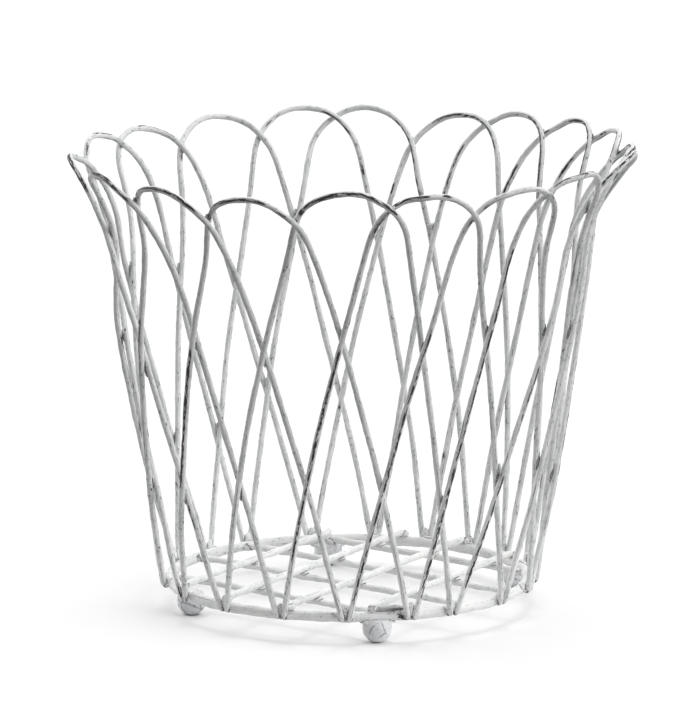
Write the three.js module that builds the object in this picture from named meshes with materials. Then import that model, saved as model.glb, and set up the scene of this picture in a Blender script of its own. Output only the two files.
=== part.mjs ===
// Wire planter: bent wire hoops interlaced round a flaring wall and welded to the outside of a base ring,
// over a grid of rods and four ball feet.
// Millimetres, +Z up, standing on z = 0. Azimuths are degrees from the front, which faces -Y, toward +X.
import * as THREE from "three";

// Wire and ball diameters, with their paint
const HOOP_WIRE = 3.3;
const RING_WIRE = 5.6;
const ROD_WIRE = 3.8;
const FOOT_BALL = 15.5;
const FOOT_FLAT = 5; // flat worn on the underside of each ball

// Overall sizes, to wire centrelines
const RIM_RADIUS = 151;
const RIM_HEIGHT = 246;
const RING_RADIUS = 96;
const RING_HEIGHT = 14;

// Wall: a cone that turns outward toward the rim
const WALL_TAPER = 0.15; // widening of the cone for each millimetre of height
const FLARE_DEPTH = 50; // how much of the top of the wall turns outward
const ARCH_RADIUS = 34; // bend at the top of a hoop, measured on the unrolled wall

// Fits
const JOINT_GAP = 0.3; // between welded pieces, and between wires where they cross
const LEG_PAIR_GAP = 0.5; // between the two leg ends that share a weld seat
const LEG_SHORT = 2.2; // leg ends stop this far above the underside of the ring
const WEAVE_HOLD = 6; // a wire keeps its layer this far above and below a crossing
const SEATS_REACHED = 2; // a hoop's legs come down this many seats to either side
const CROSSINGS = [1, 2, 3]; // the neighbours that a leg crosses, from the rim down

// Hoops as bent by hand: azimuth of the arch, its rise over the mean rim, and azimuth of the seat below it
const HOOPS = [
  { arch: -61, rise: -1, seat: -61 },
  { arch: -42, rise: -2, seat: -41 },
  { arch: -21, rise: -3, seat: -21 },
  { arch: 0, rise: 2, seat: -1 },
  { arch: 17, rise: -1, seat: 19 },
  { arch: 38, rise: -1, seat: 33 },
  { arch: 54, rise: 2, seat: 54 },
  { arch: 79, rise: 3, seat: 73 },
  { arch: 94, rise: 1, seat: 88 },
  { arch: 110, rise: 3, seat: 106 },
  { arch: 125, rise: 3, seat: 122 },
  { arch: 142, rise: 2, seat: 138 },
  { arch: 155, rise: -1, seat: 155 },
  { arch: 177, rise: 1, seat: 172 },
  { arch: 190, rise: 1, seat: 192 },
  { arch: 210, rise: -1, seat: 214 },
  { arch: 231, rise: -2, seat: 230 },
  { arch: 247, rise: -1, seat: 248 },
  { arch: 269, rise: -3, seat: 279 },
];

// Base grid: two layers of rods, each rod set off sideways from the axis
const LOWER_ROD_TURN = -39; // direction of the lower layer, from +X
const LOWER_ROD_OFFSETS = [65, 23, -16, -61];
const UPPER_ROD_TURN = 60;
const UPPER_ROD_OFFSETS = [55, 20, -18, -58];
const CURLED_ROD = 0; // the upper rod whose far end is curled up
const CURL_RADIUS = 10;
const CURL_TURN = 28; // degrees that the curled end turns through

// Feet: azimuth of each ball, and how far its centre lies inside the ring's centreline
const FEET = [
  { name: "foot_front", at: 9, inset: 1 },
  { name: "foot_right", at: 110, inset: -1 },
  { name: "foot_back", at: 187, inset: 1 },
  { name: "foot_left", at: -71, inset: 7 },
];

// Fineness of the faceted surfaces
const WIRE_SIDES = 8;
const LEG_STEPS = 16;
const ARCH_STEPS = 12;
const CURL_STEPS = 5;
const RING_STEPS = 72;
const FOOT_SIDES = 16;
const FOOT_STEPS = 6;

// Places that follow from the sizes
const SEAT_RADIUS = RING_RADIUS + (RING_WIRE + HOOP_WIRE) / 2 + JOINT_GAP;
const RING_UNDERSIDE = RING_HEIGHT - RING_WIRE / 2;
const SEAT_HEIGHT = RING_UNDERSIDE + LEG_SHORT;
const RING_TOP = RING_HEIGHT + RING_WIRE / 2;
const WEAVE_LIFT = (HOOP_WIRE + JOINT_GAP) / 2;
const UPPER_ROD_HEIGHT = RING_TOP + JOINT_GAP + ROD_WIRE / 2;
const LOWER_ROD_HEIGHT = UPPER_ROD_HEIGHT - ROD_WIRE - JOINT_GAP;

const { degToRad, lerp, smoothstep } = THREE.MathUtils;

// The painted steel of one piece, a little lighter or darker than the next
function paintedSteel(colour) {
  return new THREE.MeshStandardMaterial({ color: colour, roughness: 0.6, metalness: 0.1 });
}

// A route whose rings stand exactly on the points it is given
class WireRoute extends THREE.CatmullRomCurve3 {
  getPointAt(u, target) {
    return this.getPoint(u, target);
  }
  getTangentAt(u, target) {
    return this.getTangent(u, target);
  }
}

// Round wire of one diameter along a list of points
function wire(name, points, diameter, colour) {
  const section = new THREE.Shape().absarc(0, 0, diameter / 2, 0, 2 * Math.PI);
  const geometry = new THREE.ExtrudeGeometry(section, {
    extrudePath: new WireRoute(points),
    steps: points.length - 1,
    curveSegments: WIRE_SIDES / 2,
    bevelEnabled: false,
  });
  const mesh = new THREE.Mesh(geometry, paintedSteel(colour));
  mesh.name = name;
  return mesh;
}

// Radius of the wall at a height, and its slope there
function coneRadius(z) {
  return SEAT_RADIUS + WALL_TAPER * (z - RING_HEIGHT);
}

function wallAt(z) {
  const flare = RIM_RADIUS - coneRadius(RIM_HEIGHT);
  const turned = Math.max(0, 1 + (z - RIM_HEIGHT) / FLARE_DEPTH);
  return {
    radius: coneRadius(z) + flare * turned ** 2,
    slope: WALL_TAPER + (2 * flare * turned) / FLARE_DEPTH,
  };
}

// A point of the wall, lifted off it along its outward normal
function wallPoint(azimuth, z, lift) {
  const { radius, slope } = wallAt(z);
  const tilt = Math.hypot(1, slope);
  const out = radius + lift / tilt;
  return new THREE.Vector3(out * Math.sin(azimuth), -out * Math.cos(azimuth), z - (lift * slope) / tilt);
}

// Azimuth, in radians, of a hoop's arch or seat, counted on past a full turn
function azimuthOf(kind, index) {
  const count = HOOPS.length;
  const turns = Math.floor(index / count);
  return degToRad(HOOPS[index - turns * count][kind] + 360 * turns);
}

// One side of a hoop on the unrolled wall: a straight leg that runs tangent into the arch
// hand is +1 for the side toward greater azimuth and -1 for the other
function hoopSide(index, hand) {
  const count = HOOPS.length;
  const top = RIM_HEIGHT + HOOPS[((index % count) + count) % count].rise;
  const arch = azimuthOf("arch", index);
  const pairHalf = (HOOP_WIRE + LEG_PAIR_GAP) / 2 / SEAT_RADIUS;
  const seat = azimuthOf("seat", index + hand * SEATS_REACHED) - hand * pairHalf;
  const middle = top - ARCH_RADIUS;
  const reach = RIM_RADIUS * Math.abs(seat - arch);
  const fromMiddle = Math.hypot(reach, SEAT_HEIGHT - middle);
  const bend = Math.atan2(SEAT_HEIGHT - middle, reach) + Math.acos(ARCH_RADIUS / fromMiddle);
  return { index, hand, top, arch, middle, bend, reach, bendTop: middle + ARCH_RADIUS * Math.sin(bend) };
}

// Azimuth of a side at a height
function sideAzimuth(side, z) {
  let across = Math.sqrt(Math.max(0, ARCH_RADIUS ** 2 - (z - side.middle) ** 2));
  if (z < side.bendTop) {
    const up = (z - SEAT_HEIGHT) / (side.bendTop - SEAT_HEIGHT);
    across = lerp(side.reach, ARCH_RADIUS * Math.cos(side.bend), up);
  }
  return side.arch + (side.hand * across) / RIM_RADIUS;
}

// Height where the right side of one hoop crosses the left side of a later one
function crossingHeight(right, left) {
  let low = SEAT_HEIGHT;
  let high = Math.min(right.top, left.top);
  while (high - low > JOINT_GAP / 100) {
    const z = (low + high) / 2;
    if (sideAzimuth(right, z) > sideAzimuth(left, z)) low = z;
    else high = z;
  }
  return low;
}

// Lift of a side off the wall: right sides pass outside at the rim and inside below it, left sides the reverse
function weaveLift(side, z) {
  const crossings = CROSSINGS.map((step) => {
    const other = hoopSide(side.index + side.hand * step, -side.hand);
    return side.hand > 0 ? crossingHeight(side, other) : crossingHeight(other, side);
  });
  const [rim, upper] = crossings;
  const lowest = crossings[crossings.length - 1];
  const hold = Math.min(WEAVE_HOLD, (rim - upper) / 4);
  const topHold = Math.min(WEAVE_HOLD, (side.top - rim) / 2);
  const inside = smoothstep(z, RING_TOP, lowest - hold);
  const outside = smoothstep(z, upper + hold, rim - hold);
  const away = smoothstep(z, rim + topHold, side.top);
  return side.hand * WEAVE_LIFT * (2 * outside - inside) * (1 - away);
}

// One hoop: up its left leg, over the arch and down its right leg
function makeHoop(index) {
  const left = hoopSide(index, -1);
  const right = hoopSide(index, 1);
  const legPoints = (side) =>
    Array.from({ length: LEG_STEPS }, (_, step) => {
      const z = lerp(SEAT_HEIGHT, side.bendTop, step / LEG_STEPS);
      return wallPoint(sideAzimuth(side, z), z, weaveLift(side, z));
    });
  const archPoints = Array.from({ length: ARCH_STEPS + 1 }, (_, step) => {
    const angle = lerp(Math.PI - left.bend, right.bend, step / ARCH_STEPS);
    const z = left.middle + ARCH_RADIUS * Math.sin(angle);
    const side = Math.cos(angle) < 0 ? left : right;
    return wallPoint(left.arch + (ARCH_RADIUS * Math.cos(angle)) / RIM_RADIUS, z, weaveLift(side, z));
  });
  const points = [...legPoints(left), ...archPoints, ...legPoints(right).reverse()];
  const name = "hoop_" + String(index + 1).padStart(2, "0");
  return wire(name, points, HOOP_WIRE, 0xc9cbc8);
}

// The ring that carries the hoops, the rods and the feet
function makeRing() {
  const geometry = new THREE.TorusGeometry(RING_RADIUS, RING_WIRE / 2, WIRE_SIDES, RING_STEPS);
  const ring = new THREE.Mesh(geometry, paintedSteel(0xd3d4d1));
  ring.name = "base_ring";
  ring.position.z = RING_HEIGHT;
  return ring;
}

// A point of a base rod: along its direction, sideways from the axis, at a height
function rodPoint(turn, along, aside, height) {
  return new THREE.Vector3(along, aside, height).applyAxisAngle(
    new THREE.Vector3(0, 0, 1),
    degToRad(turn),
  );
}

// Lower rods end just inside the ring
function makeLowerRod(aside, index) {
  const within = RING_RADIUS - RING_WIRE / 2 - JOINT_GAP;
  const half = Math.sqrt(within ** 2 - (Math.abs(aside) + ROD_WIRE / 2) ** 2);
  const points = [-half, half].map((along) => rodPoint(LOWER_ROD_TURN, along, aside, LOWER_ROD_HEIGHT));
  return wire("lower_rod_" + (index + 1), points, ROD_WIRE, 0xbfc1be);
}

// Upper rods lie on the lower ones and end on top of the ring
function makeUpperRod(aside, index) {
  const half = Math.sqrt(RING_RADIUS ** 2 - aside ** 2);
  const points = [rodPoint(UPPER_ROD_TURN, -half, aside, UPPER_ROD_HEIGHT)];
  const curled = index === CURLED_ROD;
  const start = curled ? half - CURL_RADIUS : half;
  points.push(rodPoint(UPPER_ROD_TURN, start, aside, UPPER_ROD_HEIGHT));
  for (let step = 1; curled && step <= CURL_STEPS; step++) {
    const angle = degToRad((CURL_TURN * step) / CURL_STEPS);
    const along = start + CURL_RADIUS * Math.sin(angle);
    const height = UPPER_ROD_HEIGHT + CURL_RADIUS * (1 - Math.cos(angle));
    points.push(rodPoint(UPPER_ROD_TURN, along, aside, height));
  }
  return wire("upper_rod_" + (index + 1), points, ROD_WIRE, 0xd8d9d6);
}

// A ball foot, flat where it stands and cut off just under the ring
function makeFoot({ name, at, inset }) {
  const ball = FOOT_BALL / 2;
  const middle = Math.sqrt(ball ** 2 - (FOOT_FLAT / 2) ** 2);
  const cut = Math.min(RING_UNDERSIDE - JOINT_GAP, middle + ball);
  const lowest = -Math.asin(middle / ball);
  const highest = Math.asin((cut - middle) / ball);
  const profile = [new THREE.Vector2(0, 0)];
  for (let step = 0; step <= FOOT_STEPS; step++) {
    const angle = lerp(lowest, highest, step / FOOT_STEPS);
    profile.push(new THREE.Vector2(ball * Math.cos(angle), middle + ball * Math.sin(angle)));
  }
  profile.push(new THREE.Vector2(0, cut));
  const foot = new THREE.Mesh(new THREE.LatheGeometry(profile, FOOT_SIDES), paintedSteel(0xbcbebd));
  foot.name = name;
  foot.rotation.x = Math.PI / 2;
  const out = RING_RADIUS - inset;
  foot.position.set(out * Math.sin(degToRad(at)), -out * Math.cos(degToRad(at)), 0);
  return foot;
}

const planter = new THREE.Group();
planter.add(
  ...HOOPS.map((_, index) => makeHoop(index)),
  makeRing(),
  ...LOWER_ROD_OFFSETS.map(makeLowerRod),
  ...UPPER_ROD_OFFSETS.map(makeUpperRod),
  ...FEET.map(makeFoot),
);

export default planter;
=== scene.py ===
"""Wire planter: interlaced hoops of painted wire welded to a base ring, on a plain studio stage."""

import functools
import math
import random

import bpy
from bpy.props import FloatProperty, FloatVectorProperty, PointerProperty
from mathutils import Matrix, Vector, geometry, kdtree, noise


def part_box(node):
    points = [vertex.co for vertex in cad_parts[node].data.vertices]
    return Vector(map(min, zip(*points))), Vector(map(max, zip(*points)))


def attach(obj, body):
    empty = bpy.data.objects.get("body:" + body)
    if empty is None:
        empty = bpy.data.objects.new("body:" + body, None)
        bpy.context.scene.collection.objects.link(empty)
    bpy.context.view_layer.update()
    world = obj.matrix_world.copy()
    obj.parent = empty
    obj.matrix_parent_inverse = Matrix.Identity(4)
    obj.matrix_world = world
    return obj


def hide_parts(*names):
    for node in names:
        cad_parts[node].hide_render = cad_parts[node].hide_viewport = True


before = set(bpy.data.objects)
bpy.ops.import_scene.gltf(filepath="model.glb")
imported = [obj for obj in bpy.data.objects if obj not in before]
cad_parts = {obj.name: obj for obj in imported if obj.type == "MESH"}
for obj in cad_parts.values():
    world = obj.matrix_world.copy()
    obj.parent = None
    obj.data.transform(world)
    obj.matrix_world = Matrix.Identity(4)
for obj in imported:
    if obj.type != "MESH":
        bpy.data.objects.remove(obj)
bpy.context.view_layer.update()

bl_info = {
    "name": "Wire Planter",
    "version": (1, 0, 0),
    "blender": (4, 5, 0),
    "location": "View3D > Sidebar > Planter",
    "description": "Bends, welds and paints an openwork wire planter",
    "category": "Object",
}

# All lengths are in metres, apart from those of the patterns in the paint.
HOOPS = sorted(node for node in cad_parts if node.startswith("hoop_"))
LOWER_RODS = sorted(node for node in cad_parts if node.startswith("lower_rod_"))
UPPER_RODS = sorted(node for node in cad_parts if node.startswith("upper_rod_"))
RODS = [*LOWER_RODS, *UPPER_RODS]
FEET = sorted(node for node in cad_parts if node.startswith("foot_"))
RING = "base_ring"
UP = Vector((0, 0, 1))

# Corners closer than MERGE are one corner, and the corners of a wire's end lie within END_REACH.
MERGE = 1e-6
END_REACH = 0.0045
SMOOTH_ANGLE = math.radians(55)

# A drawn wire: the length between its cross sections, and the sides of a cross section.
WIRE_STEP = 0.0014
WIRE_SIDES = 16

# The base ring: its cross sections, the sides of one, and the turn from which places on it are counted.
RING_STEPS = 320
RING_SIDES = 24
RING_SEAM = math.radians(187)

# The wander of a wire: the length over which it turns, and the length at each end that is held in place.
# Without a seed, the noise that it follows would be another one in every run.
WANDER_LENGTH = 0.06
HELD_LENGTH = 0.03
WANDER_SEED = 5

# Thickness of a wire as a share of its solid's: at its end, one step in and beyond. It varies by UNEVEN.
END_TAPER = (0.78, 0.92, 0.96)
UNEVEN = 0.05
UNEVEN_LENGTH = 0.011

# Paint on each kind of wire: the sizes of its small lumps and long runs, each with a share of the set height.
WIRE_LUMPS = {
    "hoop": ((0.0045, 1.0), (0.018, 1.0)),
    "ring": ((0.006, 2.6), (0.022, 2.0)),
    "rod": ((0.005, 2.2), (0.016, 2.2)),
}

# Paint rubbed through to the steel, and some painted shade: thin dark lines along the edges of hoop_09 to
# hoop_13, and a patch of rust and painted shade under the ring's lifted flake. Start and end as shares of
# the wire's length from its left foot, the side it faces in degrees (0 outwards, 90 into the hoop's own
# window, 180 inwards), its half width in degrees and its strength.
RUBBED_AND_SHADED = {
    "hoop_01": [(0.485, 0.506, -40, 45, 1.3), (0.511, 0.523, -40, 42, 1.3), (0.526, 0.548, -35, 38, 1.3)],
    "hoop_02": [(0.446, 0.456, 0, 60, 1.5), (0.462, 0.49, -10, 30, 1.2), (0.488, 0.548, -28, 32, 1.4),
                (0.275, 0.31, 20, 28, 1.0), (0.873, 0.877, 0, 30, 1.0)],
    "hoop_03": [(0.440, 0.447, 0, 70, 1.5), (0.45, 0.478, -30, 30, 1.0), (0.472, 0.518, -8, 33, 1.4),
                (0.524, 0.546, 0, 42, 0.55), (0.135, 0.29, 18, 31, 1.5), (0.957, 0.966, -30, 22, 1.0)],
    "hoop_04": [(0.441, 0.446, 0, 60, 1.5), (0.452, 0.548, -12, 31, 1.4), (0.455, 0.5, 40, 40, 0.55)],
    "hoop_05": [(0.458, 0.494, -32, 32, 1.5), (0.415, 0.456, 30, 45, 0.7), (0.511, 0.516, -30, 36, 1.4),
                (0.19, 0.30, 0, 27, 1.5), (0.065, 0.19, 5, 24, 1.4)],
    "hoop_06": [(0.425, 0.565, 25, 60, 0.34), (0.528, 0.539, 0, 24, 1.1), (0.432, 0.435, 0, 36, 0.9),
                (0.455, 0.458, 0, 30, 1.0), (0.205, 0.318, -2, 23, 1.5), (0.02, 0.21, 6, 23, 1.5)],
    "hoop_07": [(0.46, 0.55, -60, 45, 0.6), (0.13, 0.31, -3, 25, 1.5), (0.02, 0.135, 0, 26, 1.5),
                (0.31, 0.385, -3, 22, 1.3)],
    "hoop_08": [(0.025, 0.15, -14, 22, 1.5), (0.2, 0.26, -20, 24, 0.9), (0.45, 0.53, -60, 26, 1.1)],
    # On hoop_09 to hoop_13, some inward-facing marks are thin dark lines along the wire's edge: painted
    # shade.
    "hoop_09": [(0.49, 0.56, 205, 26, 1.1)],
    "hoop_10": [(0.44, 0.505, 205, 26, 1.3), (0.535, 0.543, 180, 40, 1.4), (0.59, 0.615, 150, 28, 1.2)],
    "hoop_11": [(0.40, 0.475, 200, 26, 1.3), (0.475, 0.515, 185, 30, 1.2), (0.542, 0.549, 180, 40, 1.4),
                (0.592, 0.625, 160, 28, 1.2), (0.906, 0.911, 180, 34, 1.4)],
    "hoop_12": [(0.39, 0.47, 195, 26, 1.4), (0.47, 0.494, 185, 26, 1.2), (0.494, 0.498, 180, 40, 1.4),
                (0.59, 0.66, 172, 24, 1.0)],
    "hoop_13": [(0.41, 0.455, 176, 24, 1.2), (0.455, 0.478, 178, 26, 1.2), (0.48, 0.512, 200, 24, 1.2),
                (0.6, 0.606, 200, 34, 1.4), (0.848, 0.852, 180, 34, 1.4)],
    "hoop_14": [(0.40, 0.47, 150, 24, 1.1), (0.36, 0.39, 150, 22, 1.0)],
    "hoop_15": [(0.44, 0.48, 160, 22, 1.2), (0.395, 0.405, 175, 30, 1.3), (0.525, 0.545, 190, 24, 0.9)],
    "hoop_16": [(0.566, 0.572, 180, 50, 1.5)],
    "hoop_17": [(0.464, 0.502, 250, 26, 1.1)],
    "hoop_18": [(0.515, 0.53, 250, 30, 1.2), (0.477, 0.485, 255, 44, 1.4), (0.46, 0.474, 250, 36, 1.4),
                (0.985, 1.0, -66, 56, 0.75)],
    "hoop_19": [(0.48, 0.495, -60, 50, 1.2), (0.503, 0.568, -42, 52, 1.08)],
    # The second mark darkens the ring's top under the lifted flake: rust, and painted shade of its gap.
    "base_ring": [(0.5265, 0.533, 0, 70, 1.0), (0.504, 0.525, -80, 34, 0.45)],
}

# A mark comes in over RUB_FADE from RUB_MARGIN outside its ends, as shares of the wire's length. Its value
# is RUB_CORE times its strength in the middle, falls off across it, and stays under RUB_LIMIT.
RUB_MARGIN = 0.006
RUB_FADE = 0.01
RUB_CORE = 1.25
RUB_LIMIT = 1.5
WEAR_SEED = 8

# Half the thickness of the thickest wire, with some to spare.
THICKEST_HALF = 0.003

# Patterns in the paint: length along the wire and width across it in millimetres, and noise detail.
PAINT_PATTERNS = {
    "mottle": (16, 6, 2),
    "brush": (40, 0.8, 2),
    "ragged": (4.5, 0.6, 3),
    "chips": (2.4, 1.1, 3),
    "scratch": (45, 0.9, 2),
    "grain": (3.2, 0.7, 3),
}
PATTERN_ROUGHNESS = 0.6

# Cracks in crazed paint: how far apart they are and how far they stray, in millimetres.
CRACK_SPACING = 10.526
CRACK_STRAY = 1.4

# Marks in the paint: the two values of a pattern between which each comes in (cracks go out), its strength,
# and what wear adds to that.
PAINT_MARKS = {
    "rubbed through": (0.34, 0.42, 1, 0),
    "rubbed thin": (0.18, 0.4, 0.7, 0),
    "chipped patches": (0.47, 0.6, 0, 1),
    "chips": (0.62, 0.655, 1, 0),
    "scratches": (0.64, 0.7, 0, 0.8),
    "cracks": (0.016, 0.045, 0, 0),
    "cracked patches": (0.46, 0.54, 1, 0),
    "dull patches": (0.35, 0.68, 1, 0),
    "brush strokes": (0.46, 0.68, 0.25, 0.4),
    "specks": (0.58, 0.68, 0, 0.8),
    "dirt": (0.14, 0.45, 0.95, 0),
}

# Brush paint on scaled steel: its index of refraction, the roughness of both, and the depth of the relief,
# with the shares that brush marks and bare steel take in it.
PAINT_IOR = 1.48
PAINT_ROUGHNESS = 0.6
STEEL_ROUGHNESS = 0.7
RELIEF = 0.0003
RELIEF_STRENGTH = 0.7
BRUSH_RELIEF = 0.5
BARE_RELIEF = -0.8

# A ball foot: its height as a share of its width, the height of its middle as a share of its radius, how far
# it reaches into the ring, the sizes and heights of its lumps, the shift of its pattern, its wear all over,
# and the height of the bare, dark band painted round its bottom, where it meets the floor.
FOOT_STRETCH = 1.04
FOOT_MIDDLE = 0.98
FOOT_OVERLAP = 0.0015
FOOT_SEGMENTS = 48
FOOT_RINGS = 32
FOOT_LUMPS = ((0.007, 0.0006), (0.0035, 0.0003))
FOOT_PATTERN = Vector((0.004, 0, 0.003))
FOOT_WEAR = 0.05
FOOT_DARK_BAND = 0.0013

# Hoops are welded where their middle lines pass within HOOP_TOUCH times their thickness, rods within TOUCH.
# A hoop crosses only the next few hoops. Crossings above RIM_FROM are at the rim.
HOOP_TOUCH = 1.4
HOOP_NEIGHBOURS = (1, 2, 3)
TOUCH = 0.006
RIM_FROM = 0.17
WELD_SEED = 5

# A bead between two hoops: its longest half length, the least sine of half their angle that counts, how far
# inwards it lies, and how far up as a share of its half length. A pair is a range to draw from.
HOOP_BEAD = 0.0065
HOOP_BEAD_NARROW = 0.25
HOOP_BEAD_LENGTH = (0.75, 1.1)
HOOP_BEAD_DEPTH = (0.6, 0.9)
HOOP_BEAD_IN = 0.0006
RIM_BEAD_UP = 0.25
WALL_BEAD_UP = (-0.2, 0.3)

# Other beads of weld: half sizes (long, across and thick) and how far they lie from the spot that they join.
SEAT_BEAD = ((0.0018, 0.0024), 0.0019, 0.0017)
SEAT_IN = (0.0008, 0.0012)
SEAT_UP = 0.0002
SHARED_SEAT = 0.012
LEG_BEAD = ((0.0036, 0.005), 0.0022, 0.0012)
LEG_IN = 0.0008
LEG_UP = (0.0026, 0.0036)
RING_BEAD = ((0.003, 0.0048), 0.0022, (0.0015, 0.0022))
RING_DOWN = 0.001
RING_IN = 0.003
RING_ASIDE = (-0.003, 0.003)
CROSSING_WIDTH = (0.0022, 0.0034)
CROSSING_DEPTH = 0.0017
ROD_END_WIDTH = (0.0026, 0.0038)
ROD_END_DEPTH = 0.0019
ROD_END_DOWN = 0.0008
FOOT_PAD = (0.0096, 0.0046, 0.0024)
FOOT_PAD_UP = 0.0003
FOOT_BEAD = (0.0032, 0.0018, 0.0022)
FOOT_BEAD_ASIDE = (0.004, 0.006)
FOOT_BEAD_OUT = (0, 0.002)

# A rod's end that rises more steeply than this is curled up and free.
STEEPEST = 0.3

# Lumps in the weld, their sizes and heights, and how far dirt spreads over it from the wire.
WELD_LUMPS = ((0.0022, 0.0008), (0.0008, 0.0003))
WELD_DIRT = 0.0008

# Crossings filled by a flat web of weld: the two wires and how far up the notch the web reaches.
WEBS = [("hoop_12", "hoop_14", 0.0152), ("hoop_13", "hoop_15", 0.006), ("hoop_10", "hoop_12", 0.006)]

# A web: its cells across and up, its thickness, the dip of its brow as a share of its reach, its lumps, its
# pits as shares across and up it, and the bead along its brow.
WEB_CELLS = (10, 16)
WEB_THICKNESS = 0.0016
WEB_DIP = 0.06
WEB_LUMPS = (0.0028, 0.0006)
WEB_PITS = ((0.22, 0.84), (0.82, 0.88))
PIT_SIZE = 0.0017
PIT_WEAR = 2
WEB_BEAD = (0.0015, 0.0024)
WEB_BEAD_PAST = 0.0002

# The skin of weld that has lifted off the ring: the turn where it starts and how far it goes, in degrees, the
# angle round the ring's wire where it is held and how far it wraps, its gap, and the powers that it rises by.
FLAKE_START = 6
FLAKE_TURN = 13
FLAKE_HELD = 165
FLAKE_WRAP = 85
FLAKE_GAP = 0.0002
FLAKE_RISE_ALONG = 0.8
FLAKE_RISE_ACROSS = 1.5
FLAKE_CELLS = (32, 10)
FLAKE_THICKNESS = 0.0007
FLAKE_LUMPS = (0.003, 0.0007)
LIP_STEPS = 12
LIP_BEAD = 0.0022
LIP_DEPTH = (0.0006, 0.001)
LIP_UP = 0.0004

# The stage: the camera's sensor in millimetres and how far it sees, the width of the floor, and the distances
# between which the floor's bounce falls off.
SENSOR_WIDTH = 36
SIGHT = 50
FLOOR_WIDTH = 30
BOUNCE_NEAR = 0.15
BOUNCE_FAR = 0.32

# Lights: name, the direction they stand in, the setting that holds their strength, and spread in degrees.
LIGHTS = (
    ("overhead light", (0.1, 0.3, 1), "overhead", 104),
    ("small light", (0.0, 0.38, 1), "small", 20),
    ("side light", (0.9, -0.38, 0.12), "side", 80),
    ("edge light", (-0.85, 0.5, 0.15), "edge", 60),
)
WHITE = (1, 1, 1, 1)


def linear(code):
    """Linear colour of an sRGB hex value."""
    parts = [int(code[i:i + 2], 16) / 255 for i in (0, 2, 4)]
    return tuple(c / 12.92 if c <= 0.04045 else ((c + 0.055) / 1.055) ** 2.4 for c in parts)


class PlanterSizes(bpy.types.PropertyGroup):
    """Sizes of the bends, the paint and the welds."""

    wander: FloatProperty(
        name="Wire wander", description="How far a hand-bent wire strays from its drawn line",
        default=0.0006, min=0, unit="LENGTH")
    lumps: FloatProperty(
        name="Paint lumps", description="Height of the small lumps in the brushed paint",
        default=0.00035, min=0, unit="LENGTH")
    runs: FloatProperty(
        name="Paint runs", description="Height of the long swellings where paint ran",
        default=0.0004, min=0, unit="LENGTH")
    weld: FloatProperty(
        name="Weld bead", description="Half thickness of a bead of weld between two hoop wires",
        default=0.0012, min=0, unit="LENGTH")
    flake: FloatProperty(
        name="Lifted flake", description="How far the skin of weld in front has lifted off the ring",
        default=0.0023, min=0, unit="LENGTH")
    grime: FloatProperty(
        name="Grime reach", description="How far dirt spreads from where two wires touch",
        default=0.0013, min=0, unit="LENGTH")


class PlanterColours(bpy.types.PropertyGroup):
    """Colours of the paint and of what shows through it."""

    paint: FloatVectorProperty(
        name="Paint", description="Brushed white paint",
        default=linear("f6f6f5"), subtype="COLOR")
    shade: FloatVectorProperty(
        name="Thin paint", description="Paint where the coat is thin",
        default=linear("dcdedf"), subtype="COLOR")
    thick: FloatVectorProperty(
        name="Thick paint", description="Paint laid on thickly round the base",
        default=linear("f8f8f6"), subtype="COLOR")
    thick_shade: FloatVectorProperty(
        name="Thick paint, dull", description="Duller patches of the thick paint",
        default=linear("e6e8e8"), subtype="COLOR")
    foot: FloatVectorProperty(
        name="Foot paint", description="Pale paint on the feet",
        default=linear("f0f0f2"), subtype="COLOR")
    foot_shade: FloatVectorProperty(
        name="Foot paint, dull", description="Greyer patches on the feet",
        default=linear("e3e4e8"), subtype="COLOR")
    steel: FloatVectorProperty(
        name="Steel", description="Dark scaled steel",
        default=linear("1b1918"), subtype="COLOR")
    rust: FloatVectorProperty(
        name="Rust", description="Old rust at the edge of the paint",
        default=linear("8a837a"), subtype="COLOR")
    stain: FloatVectorProperty(
        name="Stain", description="Grey worked into the brush marks",
        default=linear("7c7b79"), subtype="COLOR")
    grime: FloatVectorProperty(
        name="Grime", description="Dirt in the joints",
        default=linear("383531"), subtype="COLOR")
    floor: FloatVectorProperty(
        name="Floor", description="Paper floor",
        default=linear("fafafa"), subtype="COLOR")
    bounce: FloatVectorProperty(
        name="Floor bounce", description="Floor near the planter, as it lights it from below",
        default=linear("d8d8d8"), subtype="COLOR")
    surround: FloatVectorProperty(
        name="Surround", description="Floor farther out, as it lights the planter",
        default=linear("404040"), subtype="COLOR")


class PlanterStage(bpy.types.PropertyGroup):
    """Camera and light."""

    distance: FloatProperty(
        name="Camera distance", description="From the camera to the planter's axis",
        default=3.6, unit="LENGTH")
    height: FloatProperty(
        name="Aim height", description="Height on the axis that the camera looks at",
        default=0.1365, unit="LENGTH")
    aside: FloatProperty(
        name="Aim aside", description="How far right of the axis the camera looks",
        default=0.00054, unit="LENGTH")
    tilt: FloatProperty(
        name="Camera tilt", description="How far the camera looks down",
        default=math.radians(10.7), subtype="ANGLE")
    lens: FloatProperty(
        name="Lens", description="Focal length in millimetres", default=345.77)
    overhead: FloatProperty(
        name="Overhead light", description="Strength of the soft light above", default=1.8)
    small: FloatProperty(
        name="Small light", description="Strength of the small light above", default=0.42)
    side: FloatProperty(
        name="Side light", description="Strength of the soft light on the right", default=2.9)
    edge: FloatProperty(
        name="Edge light", description="Strength of the soft light behind on the left", default=2.0)
    fill: FloatProperty(
        name="Fill light", description="Strength of the light all round", default=0.104)
    glow: FloatProperty(
        name="Floor glow", description="White that the floor adds to the light on it", default=0.03)


def add(tree, kind, inputs, **settings):
    """Adds a node with its settings, and fills or links its inputs."""
    node = tree.nodes.new("ShaderNode" + kind)
    for name, value in settings.items():
        setattr(node, name, value)
    for socket, value in inputs.items():
        if isinstance(value, bpy.types.NodeSocket):
            tree.links.new(value, node.inputs[socket])
        else:
            node.inputs[socket].default_value = value
    return node


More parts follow.
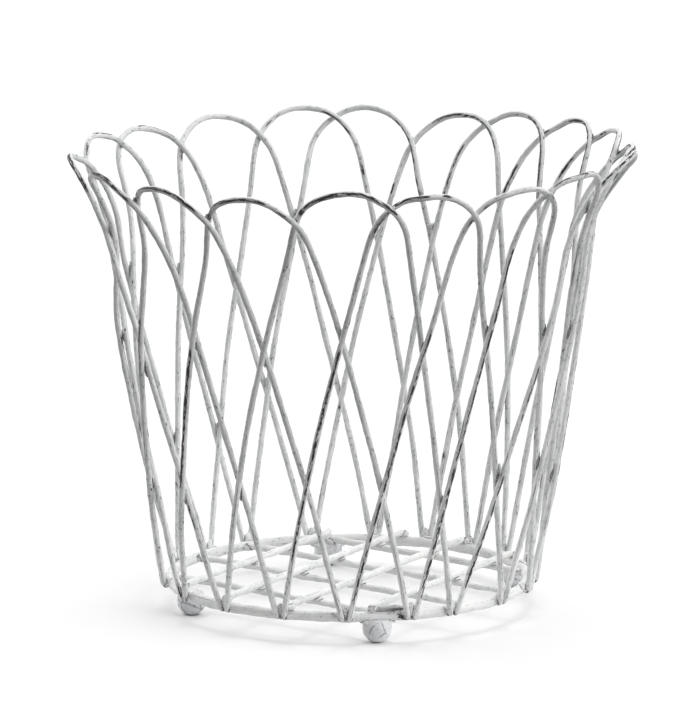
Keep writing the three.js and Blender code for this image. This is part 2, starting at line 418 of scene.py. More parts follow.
def worn_paint(name, context, fresh, dull, wear=1.0, crazed=0.0):
    """White brush paint over dark scaled steel: a dull coat with brush marks, chipped and rubbed through."""
    colours = context.scene.planter_colours
    material = bpy.data.materials.new(name)
    material.use_nodes = True
    tree = material.node_tree
    tree.nodes.clear()
    strand = add(tree, "Attribute", {}, attribute_name="strand").outputs["Vector"]
    rub = add(tree, "Attribute", {}, attribute_name="rub").outputs["Fac"]
    crevice = add(tree, "Attribute", {}, attribute_name="crevice").outputs["Fac"]
    pattern = {}
    for key, (length, width, detail) in PAINT_PATTERNS.items():
        scale = (1000 / length, 1000 / width, 1000 / width)
        scaled = add(tree, "VectorMath", {0: strand, 1: scale}, operation="MULTIPLY").outputs[0]
        pattern[key] = add(tree, "TexNoise", {
            "Vector": scaled, "Scale": 1, "Detail": detail, "Roughness": PATTERN_ROUGHNESS}).outputs[0]
    mark = {}
    for key, (start, full, strength, added) in PAINT_MARKS.items():
        mark[key] = {"From Min": start, "From Max": full, "To Max": strength + added * wear}

    # Rubbed places break into ragged streaks, dark in the middle, with a smear of old rust round them.
    # They also draw painted shade: dark lines on hoop_09 to hoop_13 and a patch under the ring's flake.
    ragged = add(tree, "Math", {0: pattern["ragged"], 1: 3.0, 2: -1.0}, operation="MULTIPLY_ADD").outputs[0]
    worn_and_shaded = add(tree, "Math", {0: rub, 1: ragged}, operation="MULTIPLY").outputs[0]
    through = add(tree, "MapRange", {"Value": worn_and_shaded, **mark["rubbed through"]}).outputs[0]
    thinned = add(tree, "MapRange", {"Value": worn_and_shaded, **mark["rubbed thin"]}).outputs[0]
    patches = add(tree, "MapRange", {"Value": pattern["mottle"], **mark["chipped patches"]}).outputs[0]
    chip = add(tree, "MapRange", {"Value": pattern["chips"], **mark["chips"]}).outputs[0]
    chipped = add(tree, "Math", {0: chip, 1: patches}, operation="MULTIPLY").outputs[0]
    scratch = add(tree, "MapRange", {"Value": pattern["scratch"], **mark["scratches"]}).outputs[0]
    scarred = add(tree, "Math", {0: chipped, 1: scratch}, operation="MAXIMUM").outputs[0]
    bare = add(tree, "Math", {0: through, 1: scarred}, operation="MAXIMUM").outputs[0]
    if crazed:
        stray = (CRACK_STRAY / 1000,) * 3
        bent = add(tree, "VectorMath", {
            0: pattern["ragged"], 1: stray, 2: strand}, operation="MULTIPLY_ADD").outputs[0]
        edge = add(tree, "TexVoronoi", {
            "Vector": bent, "Scale": 1000 / CRACK_SPACING}, feature="DISTANCE_TO_EDGE").outputs[0]
        crack = add(tree, "MapRange", {"Value": edge, "To Min": crazed, **mark["cracks"]}).outputs[0]
        part = add(tree, "MapRange", {"Value": pattern["mottle"], **mark["cracked patches"]}).outputs[0]
        broken = add(tree, "Math", {0: crack, 1: part}, operation="MULTIPLY").outputs[0]
        bare = add(tree, "Math", {0: bare, 1: broken}, operation="MAXIMUM").outputs[0]

    # The coat is greyer where it is thin, streaked along the brush, and dirty in the joints.
    tone = add(tree, "MapRange", {"Value": pattern["mottle"], **mark["dull patches"]}).outputs[0]
    stroke = add(tree, "MapRange", {"Value": pattern["brush"], **mark["brush strokes"]}).outputs[0]
    specks = add(tree, "MapRange", {"Value": pattern["grain"], **mark["specks"]}).outputs[0]
    dirt = add(tree, "Math", {0: crevice, 1: pattern["ragged"]}, operation="MULTIPLY").outputs[0]
    dirty = add(tree, "MapRange", {"Value": dirt, **mark["dirt"]}).outputs[0]
    colour = (*fresh, 1)
    layers = (
        (tone, dull), (stroke, dull), (specks, colours.stain), (thinned, colours.rust),
        (dirty, colours.grime), (bare, colours.steel))
    for share, over in layers:
        colour = add(tree, "Mix", {0: share, 6: colour, 7: (*over, 1)}, data_type="RGBA").outputs[2]
    rough = add(tree, "MapRange", {
        "Value": bare, "To Min": PAINT_ROUGHNESS, "To Max": STEEL_ROUGHNESS}).outputs[0]

    height = pattern["ragged"]
    for share, part in ((BARE_RELIEF, bare), (BRUSH_RELIEF, pattern["brush"])):
        height = add(tree, "Math", {0: part, 1: share, 2: height}, operation="MULTIPLY_ADD").outputs[0]
    bump = add(tree, "Bump", {"Height": height, "Distance": RELIEF, "Strength": RELIEF_STRENGTH}).outputs[0]
    surface = add(tree, "BsdfPrincipled", {
        "Base Color": colour, "Roughness": rough, "Normal": bump, "IOR": PAINT_IOR})
    add(tree, "OutputMaterial", {"Surface": surface.outputs[0]})
    return material


def wire_corners(node):
    """Middle of each ring of corners along a wire's solid, from end to end, and the wire's thickness."""
    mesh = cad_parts[node].data
    index, spots, spot_of = {}, [], []
    for vertex in mesh.vertices:
        key = tuple(round(c / MERGE) for c in vertex.co)
        if key not in index:
            index[key] = len(spots)
            spots.append(vertex.co.copy())
        spot_of.append(index[key])
    near = [set() for _ in spots]
    for face in mesh.polygons:
        corners = [spot_of[v] for v in face.vertices]
        for corner in corners:
            near[corner].update(corners)
    upright = node in HOOPS
    start = min(spots, key=lambda spot: spot.z if upright else spot.y)
    ring = {i for i, spot in enumerate(spots) if (spot - start).length < END_REACH}
    seen, middles, thick = set(ring), [], 0
    while ring:
        middle = sum((spots[i] for i in ring), Vector()) / len(ring)
        thick = max(thick, 2 * max((spots[i] - middle).length for i in ring))
        middles.append(middle)
        ring = {n for i in ring for n in near[i]} - seen
        seen |= ring
    top = middles[len(middles) // 2]
    if upright and top.x * middles[0].y - top.y * middles[0].x > 0:
        middles.reverse()
    return middles, thick


def smooth_line(corners, step):
    """Even points along a smooth line through the corners."""
    before, after = [corners[0], *corners], [*corners[1:], corners[-1]]
    ways = [(b - a).normalized() for a, b in zip(before, after)]
    line = [corners[0].copy()]
    for i in range(len(corners) - 1):
        a, b = corners[i], corners[i + 1]
        third = (b - a).length / 3
        count = max(2, round((b - a).length / step) + 1)
        line += geometry.interpolate_bezier(a, a + ways[i] * third, b - ways[i + 1] * third, b, count)[1:]
    return line


@functools.cache
def bent_lines(wander):
    """Middle line and thickness of every wire, as a hand would have bent it."""
    lines = {}
    noise.seed_set(WANDER_SEED)
    for node in [*HOOPS, *RODS]:
        corners, thick = wire_corners(node)
        line = smooth_line(corners, WIRE_STEP)
        for i, point in enumerate(line):
            held = min(1, min(i, len(line) - 1 - i) * WIRE_STEP / HELD_LENGTH)
            point += noise.noise_vector(point / WANDER_LENGTH) * wander * held
        lines[node] = (line, thick)
    low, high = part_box(RING)
    thick, middle = high.z - low.z, (low + high) / 2
    reach = (high.x - low.x - thick) / 2
    turns = [RING_SEAM + math.tau * i / RING_STEPS for i in range(RING_STEPS)]
    lines[RING] = ([middle + reach * Vector((math.sin(t), -math.cos(t), 0)) for t in turns], thick)
    return lines


def finder_of(points):
    """Finder of the nearest of some points."""
    finder = kdtree.KDTree(len(points))
    for i, point in enumerate(points):
        finder.insert(point, i)
    finder.balance()
    return finder


@functools.cache
def touching(wander):
    """Finder of the points of all middle lines, with each point's wire and half thickness."""
    lines = bent_lines(wander)
    entries = [(point, node, thick / 2) for node, (line, thick) in lines.items() for point in line]
    return finder_of([point for point, _, _ in entries]), entries


def heading(line, i):
    """Direction of a line at one of its points."""
    return (line[min(i + 1, len(line) - 1)] - line[max(i - 1, 0)]).normalized()


def outwards(spot):
    """Level direction from the planter's axis to a spot."""
    return Vector((spot.x, spot.y, 0)).normalized()


def upwards(way):
    """A direction, turned round if it leads down."""
    return way if way.z > 0 else -way


def ring_circle(line):
    """Centre and radius of the ring's middle line."""
    centre = (line[0] + line[RING_STEPS // 2]) / 2
    return centre, (line[0] - centre).length


def start_piece():
    """Nothing selected, so that the next operator acts on the new piece alone."""
    if bpy.context.object and bpy.context.object.mode != "OBJECT":
        bpy.ops.object.mode_set(mode="OBJECT")
    bpy.ops.object.select_all(action="DESELECT")


def clean_mesh():
    """Merges the doubles of the active piece and turns its faces outwards."""
    bpy.ops.object.mode_set(mode="EDIT")
    bpy.ops.mesh.select_all(action="SELECT")
    bpy.ops.mesh.remove_doubles(threshold=MERGE)
    bpy.ops.mesh.normals_make_consistent(inside=False)
    bpy.ops.object.mode_set(mode="OBJECT")


def lump(size, height):
    """Lumps of the given size and height all over the active piece."""
    name = "lumps %.1f mm" % (size * 1000)
    texture = bpy.data.textures.get(name) or bpy.data.textures.new(name, "CLOUDS")
    texture.noise_scale = size
    texture.noise_depth = 2
    bpy.ops.object.modifier_add(type="DISPLACE")
    modifier = bpy.context.object.modifiers[-1]
    modifier.texture = texture
    modifier.texture_coords = "LOCAL"
    modifier.strength = height
    bpy.ops.object.modifier_apply(modifier=modifier.name)


def lump_wire(kind, sizes):
    """Small lumps and long runs in the paint of the active wire."""
    for (size, share), height in zip(WIRE_LUMPS[kind], (sizes.lumps, sizes.runs)):
        lump(size, share * height)


def draw_wire(name, line, thick):
    """A round wire drawn along a line, with uneven paint and softened ends."""
    start_piece()
    bpy.ops.curve.primitive_nurbs_path_add()
    piece = bpy.context.object
    piece.name = name
    curve = piece.data
    curve.splines.clear()
    spline = curve.splines.new("POLY")
    spline.points.add(len(line) - 1)
    for i, (spot, point) in enumerate(zip(spline.points, line)):
        taper = END_TAPER[min(i, len(line) - 1 - i, len(END_TAPER) - 1)]
        spot.co = (*point, 1)
        spot.radius = taper * (1 + UNEVEN * noise.noise(point / UNEVEN_LENGTH))
    curve.dimensions = "3D"
    curve.bevel_depth = thick / 2
    curve.bevel_resolution = WIRE_SIDES // 2 - 2
    curve.use_fill_caps = True
    bpy.ops.object.convert(target="MESH")
    clean_mesh()
    return bpy.context.object


def write_values(piece, strand, rub=None, crevice=None):
    """Writes for the paint, at each point, its place on the wire, wear and painted shade, and dirt, if any.
    """
    attributes = piece.data.attributes
    none = [0.0] * len(strand)
    places = [c for place in strand for c in place]
    attributes.new("strand", "FLOAT_VECTOR", "POINT").data.foreach_set("vector", places)
    attributes.new("rub", "FLOAT", "POINT").data.foreach_set("value", rub or none)
    attributes.new("crevice", "FLOAT", "POINT").data.foreach_set("value", crevice or none)


def wear_and_shade_at(share, facing, wear_and_shade_marks):
    """Wear and painted shade of a wire at a share of its length, on the side facing some way in degrees."""
    wear = 0
    for start, end, centre, half, strength in wear_and_shade_marks:
        if start - RUB_MARGIN < share < end + RUB_MARGIN:
            past = min(share - start + RUB_MARGIN, end + RUB_MARGIN - share)
            off = abs((facing - centre + 180) % 360 - 180) / half
            wear = max(wear, strength * min(1, past / RUB_FADE) * max(0, RUB_CORE - off ** 2))
    return min(RUB_LIMIT, wear)


def map_paint(piece, node, context, wear_and_shade_marks=()):
    """Lays the paint's pattern on a wire: rubbed places, painted shade, and dirt where it touches others."""
    sizes = context.scene.planter_sizes
    line, thick = bent_lines(sizes.wander)[node]
    finder, entries = touching(sizes.wander)
    own = finder_of(line)
    step = (line[1] - line[0]).length
    frames, others = [], []
    for i, point in enumerate(line):
        along = heading(line, i)
        away = UP if node in RODS else outwards(point)
        away = (away - along * away.dot(along)).normalized()
        frames.append((away, along.cross(away)))
        found = finder.find_range(point, thick / 2 + THICKEST_HALF + sizes.grime)
        near = [entries[k] for _, k, _ in found]
        others.append([(spot, half) for spot, name, half in near if name != node])
    strand, rub, crevice = [], [], []
    for vertex in piece.data.vertices:
        spot = vertex.co
        _, i, _ = own.find(spot)
        away, side = frames[i]
        radial = spot - line[i]
        out, inner = radial.dot(away), radial.dot(side)
        strand.append((i * step + line[0].x, out, inner))
        rub.append(wear_and_shade_at(i / (len(line) - 1), math.degrees(math.atan2(inner, out)), wear_and_shade_marks))
        gap = min(((spot - there).length - half for there, half in others[i]), default=1)
        crevice.append(max(0, min(1, 1 - gap / sizes.grime)))
    write_values(piece, strand, rub, crevice)


def settle(piece, material, slot, *nodes):
    """Shades, paints and fixes a finished piece to the planter."""
    start_piece()
    piece.select_set(True)
    bpy.context.view_layer.objects.active = piece
    bpy.ops.object.shade_smooth_by_angle(angle=SMOOTH_ANGLE)
    piece.data.materials.clear()
    piece.data.materials.append(material)
    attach(piece, "root")
    if nodes:
        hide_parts(*nodes)


def far_wear(line, vary):
    """Rubbed places for the side of a hoop that RUBBED_AND_SHADED leaves clean: outside at the back, inside in front."""
    side = 0 if line[len(line) // 2].y > 0 else 180
    arch = (0.5 - vary.uniform(0.02, 0.06), 0.5 + vary.uniform(0.02, 0.06), side + vary.uniform(-25, 25),
            vary.uniform(26, 38), vary.uniform(0.9, 1.4))
    marks = [arch]
    for flip in (False, True):
        start, length = vary.uniform(0.04, 0.16), vary.uniform(0.06, 0.2)
        start = 1 - start - length if flip else start
        marks.append((start, start + length, side + vary.uniform(-25, 25), 23, vary.uniform(0.4, 1.4)))
    for _ in range(3):
        start = vary.uniform(0.05, 0.94)
        marks.append((start, start + 0.005, side + vary.uniform(-40, 40), 32, 1.4))
    return marks


class PLANTER_OT_bend_hoops(bpy.types.Operator):
    """Bends the interlaced hoops of the wall and paints them"""

    bl_idname = "planter.bend_hoops"
    bl_label = "Bend Hoops"

    def execute(self, context):
        sizes = context.scene.planter_sizes
        colours = context.scene.planter_colours
        paint = worn_paint("brushed white paint on steel wire", context, colours.paint, colours.shade)
        vary = random.Random(WEAR_SEED)
        for node in HOOPS:
            line, thick = bent_lines(sizes.wander)[node]
            piece = draw_wire(node + "_wire", line, thick)
            lump_wire("hoop", sizes)
            map_paint(piece, node, context, [*RUBBED_AND_SHADED.get(node, ()), *far_wear(line, vary)])
            settle(piece, paint, "hoop_paint", node)
        return {"FINISHED"}


class PLANTER_OT_form_ring(bpy.types.Operator):
    """Forms the ring that the hoops stand on"""

    bl_idname = "planter.form_ring"
    bl_label = "Form Base Ring"

    def execute(self, context):
        sizes = context.scene.planter_sizes
        colours = context.scene.planter_colours
        line, thick = bent_lines(sizes.wander)[RING]
        centre, radius = ring_circle(line)
        start_piece()
        bpy.ops.mesh.primitive_torus_add(
            location=centre, major_segments=RING_STEPS, minor_segments=RING_SIDES,
            major_radius=radius, minor_radius=thick / 2)
        piece = context.object
        piece.name = "base_ring_wire"
        bpy.ops.object.transform_apply(location=True, rotation=True, scale=True)
        clean_mesh()
        lump_wire("ring", sizes)
        map_paint(piece, RING, context, RUBBED_AND_SHADED[RING])
        paint = worn_paint(
            "thick white paint on the steel ring", context, colours.thick, colours.thick_shade, wear=0.5)
        settle(piece, paint, "ring_paint", RING)
        return {"FINISHED"}


class PLANTER_OT_lay_rods(bpy.types.Operator):
    """Lays the crossed rods of the base"""

    bl_idname = "planter.lay_rods"
    bl_label = "Lay Base Rods"

    def execute(self, context):
        sizes = context.scene.planter_sizes
        colours = context.scene.planter_colours
        paint = worn_paint(
            "thick white paint on steel rods", context, colours.thick, colours.thick_shade, wear=0.45)
        for node in RODS:
            piece = draw_wire(node + "_wire", *bent_lines(sizes.wander)[node])
            lump_wire("rod", sizes)
            map_paint(piece, node, context)
            settle(piece, paint, "rod_paint", node)
        return {"FINISHED"}


class PLANTER_OT_turn_feet(bpy.types.Operator):
    """Makes the four hammered ball feet"""

    bl_idname = "planter.turn_feet"
    bl_label = "Make Ball Feet"

    def execute(self, context):
        colours = context.scene.planter_colours
        paint = worn_paint(
            "crazed white paint on steel balls", context, colours.foot, colours.foot_shade,
            wear=0.4, crazed=0.6)
        for node in FEET:
            low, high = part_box(node)
            middle, ball = (low + high) / 2, (high.x - low.x) / 2
            start_piece()
            bpy.ops.mesh.primitive_uv_sphere_add(
                segments=FOOT_SEGMENTS, ring_count=FOOT_RINGS, radius=ball,
                location=(middle.x, middle.y, FOOT_MIDDLE * ball), scale=(1, 1, FOOT_STRETCH))
            piece = context.object
            piece.name = node + "_ball"
            bpy.ops.object.transform_apply(location=True, rotation=True, scale=True)
            for height, way in ((0.0, -1), (high.z + FOOT_OVERLAP, 1)):
                bpy.ops.object.mode_set(mode="EDIT")
                bpy.ops.mesh.select_all(action="SELECT")
                bpy.ops.mesh.bisect(
                    plane_co=(0, 0, height), plane_no=(0, 0, way), use_fill=True, clear_outer=True)
                bpy.ops.object.mode_set(mode="OBJECT")
            clean_mesh()
            for size, height in FOOT_LUMPS:
                lump(size, height)
            mesh = piece.data
            lift = max(0, min(v.co.z for v in mesh.vertices))
            for vertex in mesh.vertices:
                vertex.co.z = max(0, vertex.co.z - lift)
            strand = [v.co + FOOT_PATTERN for v in mesh.vertices]
            # A bare, dark band is painted round the bottom of each ball, where it meets the floor.
            rub = [FOOT_WEAR + max(0, 1 - v.co.z / FOOT_DARK_BAND) for v in mesh.vertices]
            write_values(piece, strand, rub)
            settle(piece, paint, "foot_paint", node)
        return {"FINISHED"}


def meetings(line, other, reach):
    """Where two wires pass within reach: the index of the nearest points on each."""
    finder = finder_of(other)
    near = [finder.find(point) for point in line]
    found = []
    for i in range(1, len(line) - 1):
        _, k, gap = near[i]
        if gap < reach and gap <= near[i - 1][2] and gap < near[i + 1][2]:
            found.append((i, k))
    return found


def placed(spot, long, across, half):
    """Matrix of a bead at a spot, long one way and flat along another, with its three half sizes."""
    first = long.normalized()
    third = first.cross(across).normalized()
    second = third.cross(first)
    turn = Matrix((first, second, third)).transposed().to_4x4()
    return Matrix.Translation(spot) @ turn @ Matrix.Diagonal((*half, 1))


def drawn(half, vary):
    """Half sizes of a bead, with a size drawn from each range."""
    return tuple(vary.uniform(*size) if isinstance(size, tuple) else size for size in half)


def weld_group(name, places, slot, material, context):
    """One piece of many beads of weld, each a lumpy drop shaped by its place's matrix."""
    start_piece()
    bpy.ops.mesh.primitive_ico_sphere_add(subdivisions=3, radius=1)
    bead = context.object
    for place in places[1:]:
        copy = bead.copy()
        copy.data = bead.data.copy()
        context.collection.objects.link(copy)
        copy.data.transform(place)
        copy.select_set(True)
    bead.data.transform(places[0])
    context.view_layer.objects.active = bead
    bpy.ops.object.join()
    piece = context.object
    piece.name = name
    clean_mesh()
    for size, height in WELD_LUMPS:
        lump(size, height)
    finder, entries = touching(context.scene.planter_sizes.wander)
    strand, crevice = [], []
    for vertex in piece.data.vertices:
        _, k, away = finder.find(vertex.co)
        strand.append(vertex.co.copy())
        crevice.append(max(0, 1 - abs(away - entries[k][2]) / WELD_DIRT))
    write_values(piece, strand, crevice=crevice)
    settle(piece, material, slot)


def hoop_beads(lines, vary, thickness):
    """Places of the beads where neighbouring hoops cross: those at the rim, and those lower in the wall."""
    rim, wall = [], []
    for i, node in enumerate(HOOPS):
        line, thick = lines[node]
        for step in HOOP_NEIGHBOURS:
            other, _ = lines[HOOPS[(i + step) % len(HOOPS)]]
            for here, there in meetings(line, other, HOOP_TOUCH * thick):
                spot = (line[here] + other[there]) / 2
                first, second = upwards(heading(line, here)), upwards(heading(other, there))
                way = (first + second).normalized()
                across = (first - second).normalized()
                narrow = max(HOOP_BEAD_NARROW, math.sin(first.angle(second) / 2))
                reach = min(HOOP_BEAD, 0.5 * thick / narrow) * vary.uniform(*HOOP_BEAD_LENGTH)
                half = (reach, thickness, thickness * vary.uniform(*HOOP_BEAD_DEPTH))
                at_rim = spot.z > RIM_FROM
                rise = RIM_BEAD_UP if at_rim else vary.uniform(*WALL_BEAD_UP)
                where = spot - outwards(spot) * HOOP_BEAD_IN + way * reach * rise
                (rim if at_rim else wall).append(placed(where, way, across, half))
    return rim, wall


def seat_beads(lines, vary):
    """Places of the beads where the hoops stand on the ring, and of those between legs that share a seat."""
    ends = [(lines[node][0][k], node) for node in HOOPS for k in (0, -1)]
    _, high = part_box(RING)
    places = []
    for spot, node in ends:
        out = outwards(spot)
        tip = spot - out * vary.uniform(*SEAT_IN) + UP * SEAT_UP
        places.append(placed(tip, out.cross(UP), out, drawn(SEAT_BEAD, vary)))
        mates = [other for other, name in ends if name > node and (other - spot).length < SHARED_SEAT]
        for mate in mates:
            middle = (spot + mate) / 2
            out = outwards(middle)
            aside = out.cross(UP)
            between = middle - out * LEG_IN + UP * vary.uniform(*LEG_UP)
            places.append(placed(between, UP, aside, drawn(LEG_BEAD, vary)))
            top = Vector((middle.x, middle.y, high.z - RING_DOWN)) - out * RING_IN
            half = drawn(RING_BEAD, vary)
            places.append(placed(top + aside * vary.uniform(*RING_ASIDE), aside, out, half))
    return places


def rod_beads(lines, vary):
    """Places of the beads where the rods cross each other and where their ends meet the ring."""
    places = []
    for lower in LOWER_RODS:
        for upper in UPPER_RODS:
            line, other = lines[lower][0], lines[upper][0]
            for here, there in meetings(line, other, TOUCH):
                first, second = heading(line, here), heading(other, there)
                spot = (line[here] + other[there]) / 2
                size = vary.uniform(*CROSSING_WIDTH)
                places.append(placed(spot, first + second, second, (size, size, CROSSING_DEPTH)))
    for node in RODS:
        line, _ = lines[node]
        for end, before in ((0, 1), (-1, -2)):
            along = line[end] - line[before]
            if abs(along.normalized().z) > STEEPEST:
                continue
            size = vary.uniform(*ROD_END_WIDTH)
            places.append(placed(line[end] - UP * ROD_END_DOWN, along, UP, (size, ROD_END_DEPTH, size)))
    return places


def foot_beads(vary):
    """Places of the pad of weld on top of each foot and of the two drops beside it."""
    places = []
    for node in FEET:
        low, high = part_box(node)
        middle = (low + high) / 2
        out = outwards(middle)
        aside = out.cross(UP)
        pad = Vector((middle.x, middle.y, high.z + FOOT_PAD_UP))
        places.append(placed(pad, aside, out, FOOT_PAD))
        for way in (-1, 1):
            spot = pad + aside * way * vary.uniform(*FOOT_BEAD_ASIDE) + out * vary.uniform(*FOOT_BEAD_OUT)
            places.append(placed(spot, aside, UP, FOOT_BEAD))
    return places


def bend_grid(name, cells, place, thickness):
    """A sheet whose points are placed by how far they lie along it and across it, from 0 to 1."""
    start_piece()
    bpy.ops.mesh.primitive_grid_add(x_subdivisions=cells[0], y_subdivisions=cells[1], size=2)
    piece = bpy.context.object
    piece.name = name
    for vertex in piece.data.vertices:
        vertex.co = place((vertex.co.x + 1) / 2, (vertex.co.y + 1) / 2)
    bpy.ops.object.modifier_add(type="SOLIDIFY")
    piece.modifiers[-1].thickness = thickness
    piece.modifiers[-1].offset = 0
    bpy.ops.object.modifier_apply(modifier=piece.modifiers[-1].name)
    clean_mesh()
    return piece


def along_line(line, start, way, steps):
    """Point on a line, a number of steps one way from one of its points."""
    far = min(max(start + way * steps, 0), len(line) - 1)
    i = min(int(far), len(line) - 2)
    return line[i].lerp(line[i + 1], far - i)


def fill_web(first, second, reach, lines, paint):
    """Fills the notch over a crossing with a flat web of weld, and gives the place of its brow's bead."""
    line, other = lines[first][0], lines[second][0]
    here, there = max(meetings(line, other, TOUCH), key=lambda pair: line[pair[0]].z)
    ways = [1 if way.z > 0 else -1 for way in (heading(line, here), heading(other, there))]

    def place(across, up):
        steps = up * (1 - WEB_DIP * (1 - (2 * across - 1) ** 2)) * reach / WIRE_STEP
        return along_line(line, here, ways[0], steps).lerp(along_line(other, there, ways[1], steps), across)

    piece = bend_grid("web_%s_%s" % (first, second), WEB_CELLS, place, WEB_THICKNESS)
    lump(*WEB_LUMPS)
    strand = [v.co.copy() for v in piece.data.vertices]
    pits = [place(*pit) for pit in WEB_PITS]
    rub = [PIT_WEAR * max(0, 1 - min((pit - v).length for pit in pits) / PIT_SIZE) for v in strand]
    write_values(piece, strand, rub)
    settle(piece, paint, "hoop_paint")
    brow, side = place(0.5, 1), place(0, 1) - place(1, 1)
    return placed(brow, side, brow - place(0.5, 0), (side.length / 2 + WEB_BEAD_PAST, *WEB_BEAD))


def lift_flake(lines, vary, lift, paint, context):
    """The skin of weld in front that has lifted off the ring, and the lip of beads along its free edge."""
    ring, thick = lines[RING]
    centre, reach = ring_circle(ring)

    def place(along, across):
        turn = math.radians(FLAKE_START + FLAKE_TURN * along)
        angle = math.radians(FLAKE_HELD - FLAKE_WRAP * across)
        rise = lift * math.sin(math.pi * along) ** FLAKE_RISE_ALONG * across ** FLAKE_RISE_ACROSS
        off = thick / 2 + FLAKE_GAP + rise
        far = reach + off * math.cos(angle)
        return Vector((far * math.sin(turn), -far * math.cos(turn), centre.z + off * math.sin(angle)))

    lips = []
    for k in range(1, LIP_STEPS):
        lip, beyond = place(k / LIP_STEPS, 1), place((k + 1) / LIP_STEPS, 1)
        size = vary.uniform(*LIP_DEPTH)
        lips.append(placed(lip + UP * LIP_UP, beyond - lip, UP, (LIP_BEAD, size, size)))
    weld_group("flake_lip", lips, "ring_paint", paint, context)

    piece = bend_grid("front_flake", FLAKE_CELLS, place, FLAKE_THICKNESS)
    lump(*FLAKE_LUMPS)
    write_values(piece, [v.co.copy() for v in piece.data.vertices])
    settle(piece, paint, "ring_paint")


class PLANTER_OT_weld_joints(bpy.types.Operator):
    """Welds the hoops to each other and to the ring, and the rods and feet to the base"""

    bl_idname = "planter.weld_joints"
    bl_label = "Weld Joints"

    def execute(self, context):
        sizes = context.scene.planter_sizes
        colours = context.scene.planter_colours
        lines = bent_lines(sizes.wander)
        vary = random.Random(WELD_SEED)
        paint = worn_paint("white paint on pitted weld", context, colours.paint, colours.shade)
        laden = worn_paint(
            "thick white paint on weld", context, colours.thick, colours.thick_shade, wear=0.8)
        rim, wall = hoop_beads(lines, vary, sizes.weld)
        seats = seat_beads(lines, vary)
        crossings = rod_beads(lines, vary)
        feet = foot_beads(vary)
        weld_group("rim_welds", rim, "hoop_paint", paint, context)
        weld_group("wall_welds", wall, "hoop_paint", paint, context)
        weld_group("seat_welds", seats, "ring_paint", laden, context)
        weld_group("grid_welds", crossings, "rod_paint", laden, context)
        weld_group("foot_welds", feet, "foot_paint", laden, context)
        brows = [fill_web(first, second, reach, lines, paint) for first, second, reach in WEBS]
        weld_group("web_beads", brows, "hoop_paint", laden, context)
        lift_flake(lines, vary, sizes.flake, laden, context)
        return {"FINISHED"}


def seen_mask(tree):
    """1 for rays that show a thing to the camera, straight, mirrored or through glass, 0 for soft light."""
    rays = add(tree, "LightPath", {}).outputs
    mask = rays["Is Camera Ray"]
    for kind in ("Is Glossy Ray", "Is Transmission Ray"):
        mask = add(tree, "Math", {0: mask, 1: rays[kind]}, operation="MAXIMUM").outputs[0]
    return mask


def matt_paper(stage, colours):
    """Matt white paper, seen plain and bright, which lights the planter mostly from near its foot."""
    paper = bpy.data.materials.new("matt white paper")
    paper.use_nodes = True
    tree = paper.node_tree
    tree.nodes.clear()
    lit = add(tree, "BsdfDiffuse", {"Color": (*colours.floor, 1)})
    glow = add(tree, "Emission", {"Color": WHITE, "Strength": stage.glow})
    shown = add(tree, "AddShader", {0: lit.outputs[0], 1: glow.outputs[0]})
    spot = add(tree, "TexCoord", {}).outputs["Object"]
    far = add(tree, "VectorMath", {0: spot}, operation="LENGTH").outputs["Value"]
    edge = add(tree, "MapRange", {"Value": far, "From Min": BOUNCE_NEAR, "From Max": BOUNCE_FAR}).outputs[0]
    sheet = add(tree, "Mix", {
        0: edge, 6: (*colours.bounce, 1), 7: (*colours.surround, 1)}, data_type="RGBA").outputs[2]
    plain = add(tree, "BsdfDiffuse", {"Color": sheet})
    mixed = add(tree, "MixShader", {0: seen_mask(tree), 1: plain.outputs[0], 2: shown.outputs[0]})
    add(tree, "OutputMaterial", {"Surface": mixed.outputs[0]})
    return paper


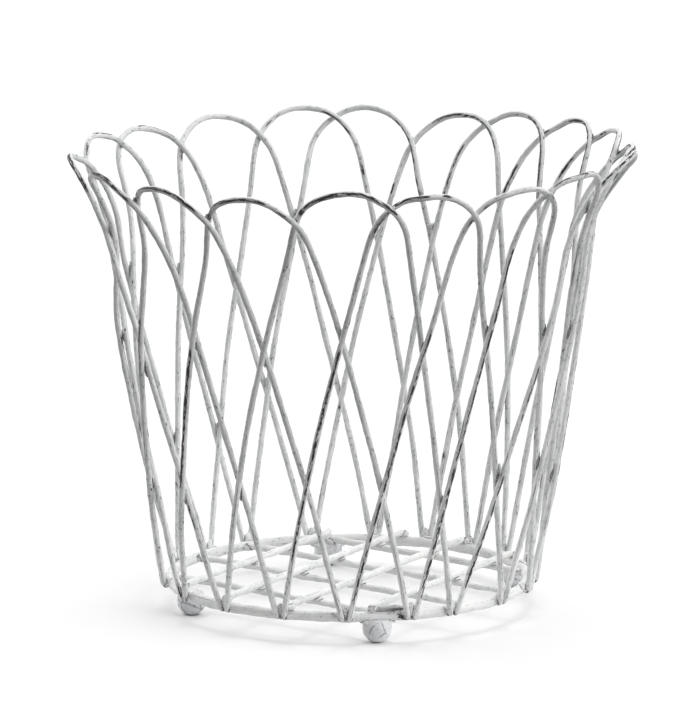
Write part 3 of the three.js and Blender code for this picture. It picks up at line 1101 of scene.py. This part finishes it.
class PLANTER_OT_set_stage(bpy.types.Operator):
    """Lays the floor, hangs the lights and sets up the camera"""

    bl_idname = "planter.set_stage"
    bl_label = "Set Stage"

    def execute(self, context):
        stage = context.scene.planter_stage
        context.scene.view_settings.view_transform = "Standard"

        start_piece()
        away = Vector((0, -math.cos(stage.tilt), math.sin(stage.tilt))) * stage.distance
        bpy.ops.object.camera_add(
            location=Vector((stage.aside, 0, stage.height)) + away, rotation=(math.pi / 2 - stage.tilt, 0, 0))
        camera = context.object
        camera.data.sensor_fit = "HORIZONTAL"
        camera.data.sensor_width = SENSOR_WIDTH
        camera.data.lens = stage.lens
        camera.data.clip_end = SIGHT
        context.scene.camera = camera

        start_piece()
        bpy.ops.mesh.primitive_plane_add(size=FLOOR_WIDTH)
        floor = context.object
        floor.name = "paper_floor"
        floor.data.materials.append(matt_paper(stage, context.scene.planter_colours))

        for name, toward, strength, spread in LIGHTS:
            start_piece()
            bpy.ops.object.light_add(type="SUN", rotation=Vector(toward).to_track_quat("Z", "Y").to_euler())
            lamp = context.object
            lamp.name = name
            lamp.data.energy = getattr(stage, strength)
            lamp.data.angle = math.radians(spread)

        world = bpy.data.worlds.new("studio")
        context.scene.world = world
        world.use_nodes = True
        tree = world.node_tree
        tree.nodes.clear()
        fill = add(tree, "Background", {"Color": WHITE, "Strength": stage.fill})
        white = add(tree, "Background", {"Color": WHITE, "Strength": 1})
        mixed = add(tree, "MixShader", {0: seen_mask(tree), 1: fill.outputs[0], 2: white.outputs[0]})
        add(tree, "OutputWorld", {"Surface": mixed.outputs[0]})
        return {"FINISHED"}


class PLANTER_PT_build(bpy.types.Panel):
    """Lists the steps of the build"""

    bl_label = "Wire Planter"
    bl_idname = "PLANTER_PT_build"
    bl_space_type = "VIEW_3D"
    bl_region_type = "UI"
    bl_category = "Planter"

    def draw(self, context):
        scene = context.scene
        for step in STEPS:
            self.layout.operator(step.bl_idname)
        for group in (scene.planter_sizes, scene.planter_colours, scene.planter_stage):
            for name in group.__annotations__:
                self.layout.prop(group, name)


STEPS = (
    PLANTER_OT_set_stage, PLANTER_OT_bend_hoops, PLANTER_OT_form_ring, PLANTER_OT_lay_rods,
    PLANTER_OT_turn_feet, PLANTER_OT_weld_joints)
CLASSES = (PlanterSizes, PlanterColours, PlanterStage, *STEPS, PLANTER_PT_build)


def register():
    for entry in CLASSES:
        bpy.utils.register_class(entry)
    bpy.types.Scene.planter_sizes = PointerProperty(type=PlanterSizes)
    bpy.types.Scene.planter_colours = PointerProperty(type=PlanterColours)
    bpy.types.Scene.planter_stage = PointerProperty(type=PlanterStage)


def unregister():
    del bpy.types.Scene.planter_stage
    del bpy.types.Scene.planter_colours
    del bpy.types.Scene.planter_sizes
    for entry in reversed(CLASSES):
        bpy.utils.unregister_class(entry)


def main():
    register()
    bpy.ops.planter.set_stage()
    bpy.ops.planter.bend_hoops()
    bpy.ops.planter.form_ring()
    bpy.ops.planter.lay_rods()
    bpy.ops.planter.turn_feet()
    bpy.ops.planter.weld_joints()


if __name__ == "__main__":
    main()
